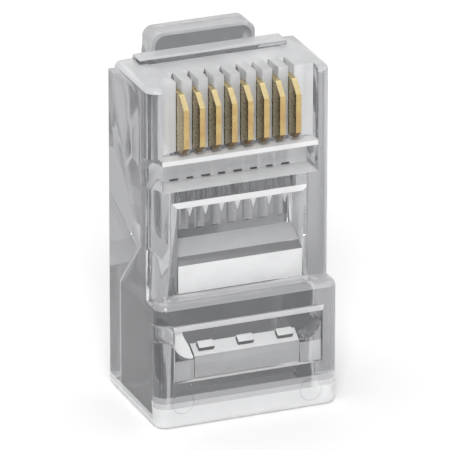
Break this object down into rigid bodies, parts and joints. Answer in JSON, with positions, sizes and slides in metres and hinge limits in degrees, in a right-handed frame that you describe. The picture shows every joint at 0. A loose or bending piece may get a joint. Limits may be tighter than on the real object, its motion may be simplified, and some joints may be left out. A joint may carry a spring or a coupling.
{
  "type": "rj45 modular plug",
  "caption": "Clear uncrimped modular plug for round network cable: gold blade contacts in a slotted nose, two strain-relief bars in windows and a sprung latch lever.",
  "frame": {"origin": "centre of the cable entry, on the rear face that the plug stands on", "axes": "+Z from the cable entry towards the nose that enters the jack, -Y the side with the contacts, +Y the side with the latch lever, X across the row of contacts"},
  "size_m": [0.0116, 0.0121, 0.0224],
  "materials": {
    "clear_plastic": "clear moulded polycarbonate, polished",
    "gold_contact": "thin gold plate on phosphor bronze, softly polished"
  },
  "bodies": {
    "housing": {"housing": "clear_plastic"},
    "latch": {"latch_lever": "clear_plastic"},
    "jacket_bar": {"jacket_anchor_bar": "clear_plastic"},
    "conductor_bar": {"conductor_anchor_bar": "clear_plastic"},
    "contact_1": {"contact_1": "gold_contact"},
    "contact_2": {"contact_2": "gold_contact"},
    "contact_3": {"contact_3": "gold_contact"},
    "contact_4": {"contact_4": "gold_contact"},
    "contact_5": {"contact_5": "gold_contact"},
    "contact_6": {"contact_6": "gold_contact"},
    "contact_7": {"contact_7": "gold_contact"},
    "contact_8": {"contact_8": "gold_contact"}
  },
  "joints": [
    {"name": "latch_hinge", "type": "hinge", "parent": "housing", "child": "latch", "pos_m": [0, 0.00363, 0.02037], "axis": [-1, 0, 0], "range_deg": [0, 11], "stiffness_Nm_per_rad": 0.02},
    {"name": "jacket_bar_hinge", "type": "hinge", "parent": "housing", "child": "jacket_bar", "pos_m": [0, -0.00379, 0.00297], "axis": [-1, 0, 0], "range_deg": [0, 40]},
    {"name": "conductor_bar_hinge", "type": "hinge", "parent": "housing", "child": "conductor_bar", "pos_m": [0, -0.0028, 0.00808], "axis": [-1, 0, 0], "range_deg": [0, 25]},
    {"name": "contact_1_crimp", "type": "slide", "parent": "housing", "child": "contact_1", "axis": [0, 1, 0], "range_m": [0, 0.00095]},
    {"name": "contact_2_crimp", "type": "slide", "parent": "housing", "child": "contact_2", "axis": [0, 1, 0], "range_m": [0, 0.00095]},
    {"name": "contact_3_crimp", "type": "slide", "parent": "housing", "child": "contact_3", "axis": [0, 1, 0], "range_m": [0, 0.00095]},
    {"name": "contact_4_crimp", "type": "slide", "parent": "housing", "child": "contact_4", "axis": [0, 1, 0], "range_m": [0, 0.00095]},
    {"name": "contact_5_crimp", "type": "slide", "parent": "housing", "child": "contact_5", "axis": [0, 1, 0], "range_m": [0, 0.00095]},
    {"name": "contact_6_crimp", "type": "slide", "parent": "housing", "child": "contact_6", "axis": [0, 1, 0], "range_m": [0, 0.00095]},
    {"name": "contact_7_crimp", "type": "slide", "parent": "housing", "child": "contact_7", "axis": [0, 1, 0], "range_m": [0, 0.00095]},
    {"name": "contact_8_crimp", "type": "slide", "parent": "housing", "child": "contact_8", "axis": [0, 1, 0], "range_m": [0, 0.00095]}
  ]
}
